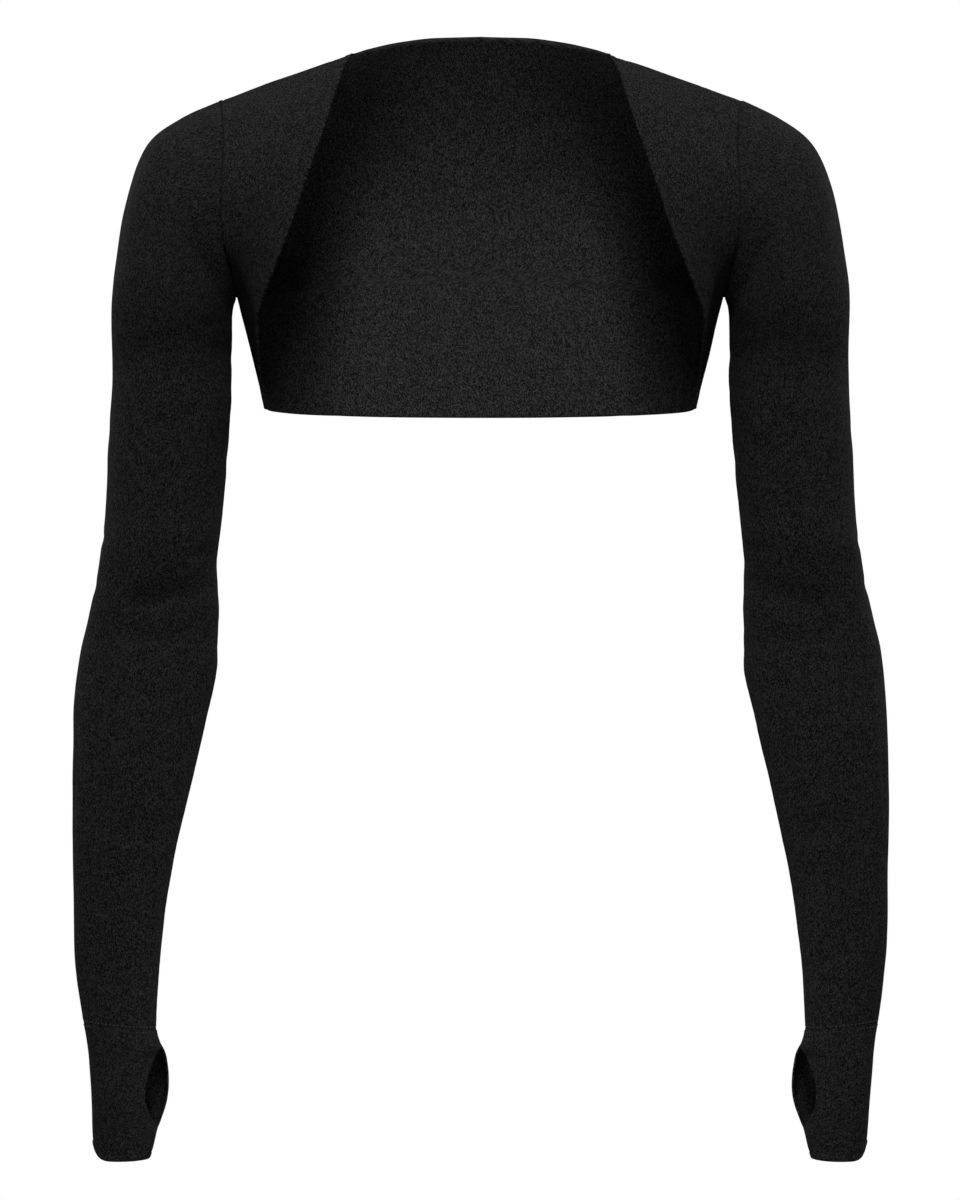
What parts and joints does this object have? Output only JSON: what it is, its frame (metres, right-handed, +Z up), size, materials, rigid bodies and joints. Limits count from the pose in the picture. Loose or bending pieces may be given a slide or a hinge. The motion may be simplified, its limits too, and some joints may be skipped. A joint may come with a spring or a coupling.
{
  "type": "bolero jacket",
  "caption": "Cropped long-sleeved bolero jacket in thin stretch jersey, open at the front, with hand pieces that have thumb holes.",
  "frame": {"origin": "midway between the places where the jacket rests on the wearer's shoulders, in the plane of symmetry", "axes": "+Z up along the standing wearer, -Y the way the wearer faces, +X the wearer's left"},
  "size_m": [0.5464, 0.1817, 0.755],
  "materials": {
    "jersey": "matt charcoal knit",
    "thread": "spun polyester sewing thread"
  },
  "bodies": {
    "root": {"back_panel": "jersey", "front_left": "jersey", "front_right": "jersey", "sleeve_left": "jersey", "sleeve_right": "jersey", "cuff_left": "jersey", "cuff_right": "jersey"}
  },
  "joints": []
}
